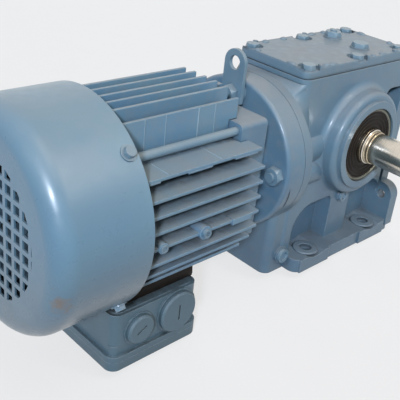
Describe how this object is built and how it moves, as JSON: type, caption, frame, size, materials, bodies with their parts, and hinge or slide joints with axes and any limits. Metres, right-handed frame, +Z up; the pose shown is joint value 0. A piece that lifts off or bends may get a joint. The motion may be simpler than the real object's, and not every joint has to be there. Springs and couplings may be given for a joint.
{
  "type": "worm gear motor",
  "caption": "Foot-mounted helical-worm gear motor: finned fan-cooled motor, round flange, cast case with feet, keyed output shaft at a right angle.",
  "frame": {"origin": "middle of the four foot holes, on the plane the feet stand on, directly under the output shaft's axis", "axes": "+X along the motor's axis, away from its fan; -Y along the output shaft, out of the case; +Z up from the feet"},
  "size_m": [0.5249, 0.2405, 0.2635],
  "materials": {
    "machine_paint": "satin blue-grey machine enamel over cast iron and cast aluminium",
    "box_paint": "the same enamel in shade, slightly duller, over die-cast parts",
    "ground_steel": "ground and lightly oiled steel",
    "bearing_steel": "ground and polished bearing steel",
    "gear_steel": "hardened and ground gear steel",
    "spring_steel": "blackened spring steel",
    "zinc_steel": "bright zinc plate",
    "cast_iron": "bare cast iron",
    "core_plate": "varnished stack of electrical steel sheet",
    "bronze": "cast tin bronze, machined",
    "brass": "turned brass",
    "copper": null,
    "seal_rubber": "oil-resistant rubber, dark brown",
    "gasket": "thin sealing sheet",
    "fan_plastic": "moulded plastic",
    "block_plastic": "moulded thermoset"
  },
  "bodies": {
    "case": {"gear_case": "machine_paint", "case_cover": "machine_paint", "cover_gasket": "gasket", "cover_bolts": "machine_paint", "breather_plug": "machine_paint", "filler_plug": "machine_paint", "level_plug": "machine_paint", "drain_plug": "machine_paint", "worm_end_cap": "machine_paint", "end_cap_screws": "zinc_steel", "flange_gasket": "gasket", "output_bearing_outers": "bearing_steel", "retaining_rings": "spring_steel", "oil_seal_case": "zinc_steel", "oil_seal_lip": "seal_rubber", "bore_cap": "box_paint", "worm_bearing_outers": "bearing_steel", "rotor_bearing_outers": "bearing_steel", "stator_housing": "machine_paint", "stator_core": "core_plate", "stator_windings": "copper", "front_end_shield": "machine_paint", "rear_end_shield": "box_paint", "motor_oil_seal": "seal_rubber", "tie_rods": "machine_paint", "tie_rod_nuts": "zinc_steel", "flange_studs": "zinc_steel", "flange_nuts": "machine_paint", "lifting_eye": "machine_paint", "fan_cover": "machine_paint", "fan_cover_screws": "machine_paint", "terminal_box": "box_paint", "box_gasket": "gasket", "terminal_lid": "box_paint", "lid_screws": "zinc_steel", "large_blanking_plug": "box_paint", "small_blanking_plug": "box_paint", "terminal_block": "block_plastic", "terminal_studs": "brass", "earth_screw": "zinc_steel"},
    "output": {"output_shaft": "ground_steel", "worm_wheel_rim": "bronze", "wheel_hub": "cast_iron", "wheel_key": "ground_steel", "shaft_sleeve": "ground_steel", "output_bearing_inners": "bearing_steel"},
    "worm": {"worm_shaft": "ground_steel", "helical_gear": "gear_steel", "gear_key": "ground_steel", "worm_bearing_inners": "bearing_steel", "worm_locknut": "zinc_steel"},
    "rotor": {"rotor_shaft": "ground_steel", "rotor_core": "core_plate", "pinion": "gear_steel", "cooling_fan": "fan_plastic", "fan_clip": "spring_steel", "rotor_bearing_inners": "bearing_steel"}
  },
  "joints": [
    {"name": "output_spin", "type": "hinge", "parent": "case", "child": "output", "pos_m": [0, 0, 0.14], "axis": [0, -1, 0], "continuous": true},
    {"name": "worm_spin", "type": "hinge", "parent": "case", "child": "worm", "pos_m": [0, 0, 0.077], "axis": [1, 0, 0], "continuous": true},
    {"name": "rotor_spin", "type": "hinge", "parent": "case", "child": "rotor", "pos_m": [-0.26, 0, 0.13884], "axis": [1, 0, 0], "continuous": true}
  ],
  "couplings": [
    {"joint": "worm_spin", "follows": "output_spin", "ratio": -20},
    {"joint": "rotor_spin", "follows": "output_spin", "ratio": 32.174}
  ]
}
